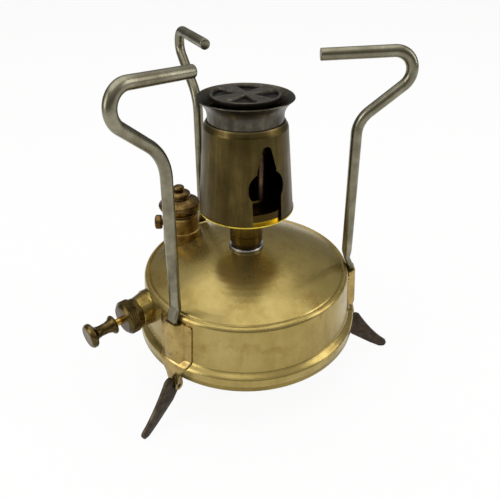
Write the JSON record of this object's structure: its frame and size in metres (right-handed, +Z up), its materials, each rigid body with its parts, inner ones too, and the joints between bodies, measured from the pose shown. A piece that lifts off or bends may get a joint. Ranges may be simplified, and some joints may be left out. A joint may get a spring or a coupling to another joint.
{
  "type": "kerosene pressure stove",
  "caption": "Brass pressure stove: domed fuel tank on folding feet, lift-out bent-rod pot supports, side hand pump, screw filler cap and a roarer burner in a windowed shield.",
  "frame": {"origin": "on the table, under the burner's vertical axis", "axes": "+Z up along the burner's axis; +X towards leg 1, the one on the picture's right, so that the picture looks roughly along +Y"},
  "size_m": [0.2237, 0.1923, 0.2366],
  "materials": {
    "tank_brass": "aged, satin",
    "base_brass": "aged, satin",
    "bracket_brass": "aged, satin",
    "filler_brass": "dark patina",
    "pump_brass": "aged, satin",
    "burner_brass": "heat-darkened",
    "cup_brass": "bright",
    "rod_brass": "polished",
    "pipe_brass": "plain",
    "support_steel": "plated, dull",
    "foot_steel": "dark",
    "burnt_steel": "heat-darkened",
    "spring_steel": "plain",
    "lead": "dull",
    "black_rubber": "matt",
    "pump_leather": "oiled"
  },
  "bodies": {
    "tank": {"tank_shell": "tank_brass", "tank_base": "base_brass", "burner_socket": "pipe_brass", "feed_pipe": "pipe_brass", "leg_bracket_1": "bracket_brass", "leg_bracket_2": "bracket_brass", "leg_bracket_3": "bracket_brass", "foot_pin_1": "foot_steel", "foot_pin_2": "foot_steel", "foot_pin_3": "foot_steel", "filler_neck": "filler_brass", "pump_barrel": "pipe_brass", "pump_boss": "pump_brass", "pump_cap": "pump_brass", "valve_body": "pipe_brass", "valve_spring": "spring_steel", "lead_washer": "lead", "burner_stem": "burner_brass", "spirit_cup": "cup_brass", "vaporiser_base": "burner_brass", "jet_nipple": "rod_brass", "vaporiser_tubes": "pipe_brass", "burner_head": "burner_brass"},
    "foot_1": {"foot_1": "foot_steel"},
    "foot_2": {"foot_2": "foot_steel"},
    "foot_3": {"foot_3": "foot_steel"},
    "pot_support_1": {"pot_support_1": "support_steel"},
    "pot_support_2": {"pot_support_2": "support_steel"},
    "pot_support_3": {"pot_support_3": "support_steel"},
    "burner_shield": {"burner_shield": "burner_brass"},
    "flame_ring": {"flame_ring": "burnt_steel"},
    "flame_plate": {"flame_plate": "burnt_steel"},
    "filler_washer": {"filler_washer": "black_rubber"},
    "filler_cap": {"filler_cap": "filler_brass"},
    "air_screw": {"air_screw": "filler_brass", "air_screw_head": "filler_brass"},
    "plunger": {"plunger_rod": "rod_brass", "plunger_knob": "pump_brass", "pump_leather": "pump_leather", "leather_plate": "pipe_brass", "leather_nut": "pipe_brass"},
    "valve_pip": {"valve_pip": "rod_brass", "valve_seal": "black_rubber"}
  },
  "joints": [
    {"name": "foot_1_fold", "type": "hinge", "parent": "tank", "child": "foot_1", "pos_m": [0.0802, 0, 0.0244], "axis": [0, 1, 0], "range_deg": [0, 130]},
    {"name": "foot_2_fold", "type": "hinge", "parent": "tank", "child": "foot_2", "pos_m": [-0.0401, 0.06946, 0.0244], "axis": [-0.866, -0.5, 0], "range_deg": [0, 130]},
    {"name": "foot_3_fold", "type": "hinge", "parent": "tank", "child": "foot_3", "pos_m": [-0.04938, -0.0632, 0.0244], "axis": [0.788, -0.6157, 0], "range_deg": [0, 130]},
    {"name": "pot_support_1_lift", "type": "slide", "parent": "tank", "child": "pot_support_1", "axis": [-0.0878, 0, 0.9961], "range_m": [0, 0.04]},
    {"name": "pot_support_2_lift", "type": "slide", "parent": "tank", "child": "pot_support_2", "axis": [0.0439, -0.076, 0.9961], "range_m": [0, 0.04]},
    {"name": "pot_support_3_lift", "type": "slide", "parent": "tank", "child": "pot_support_3", "axis": [0.0541, 0.0692, 0.9961], "range_m": [0, 0.04]},
    {"name": "plunger_slide", "type": "slide", "parent": "tank", "child": "plunger", "axis": [-0.7385, -0.6743, 0], "range_m": [-0.005, 0.115]},
    {"name": "valve_open", "type": "slide", "parent": "tank", "child": "valve_pip", "axis": [0.7385, 0.6743, 0], "range_m": [0, 0.0012], "stiffness_N_per_m": 40, "springref_m": -0.002},
    {"name": "cap_lift", "type": "slide", "parent": "tank", "child": "filler_washer", "axis": [0, 0, 1], "range_m": [0, 0.0045]},
    {"name": "cap_turn", "type": "hinge", "parent": "filler_washer", "child": "filler_cap", "pos_m": [-0.04945, 0.02629, 0.1132], "axis": [0, 0, 1], "range_deg": [0, 1080]},
    {"name": "air_screw_turn", "type": "hinge", "parent": "tank", "child": "air_screw", "pos_m": [-0.06424, 0.02629, 0.104], "axis": [-1, 0, 0], "range_deg": [0, 360]},
    {"name": "shield_lift", "type": "slide", "parent": "tank", "child": "burner_shield", "axis": [0, 0, 1], "range_m": [0, 0.06]},
    {"name": "flame_ring_lift", "type": "slide", "parent": "burner_shield", "child": "flame_ring", "axis": [0, 0, 1], "range_m": [0, 0.03]},
    {"name": "flame_plate_lift", "type": "slide", "parent": "flame_ring", "child": "flame_plate", "axis": [0, 0, 1], "range_m": [0, 0.03]}
  ],
  "couplings": [
    {"joint": "cap_turn", "follows": "cap_lift", "rad_per_m": 4188.8}
  ]
}
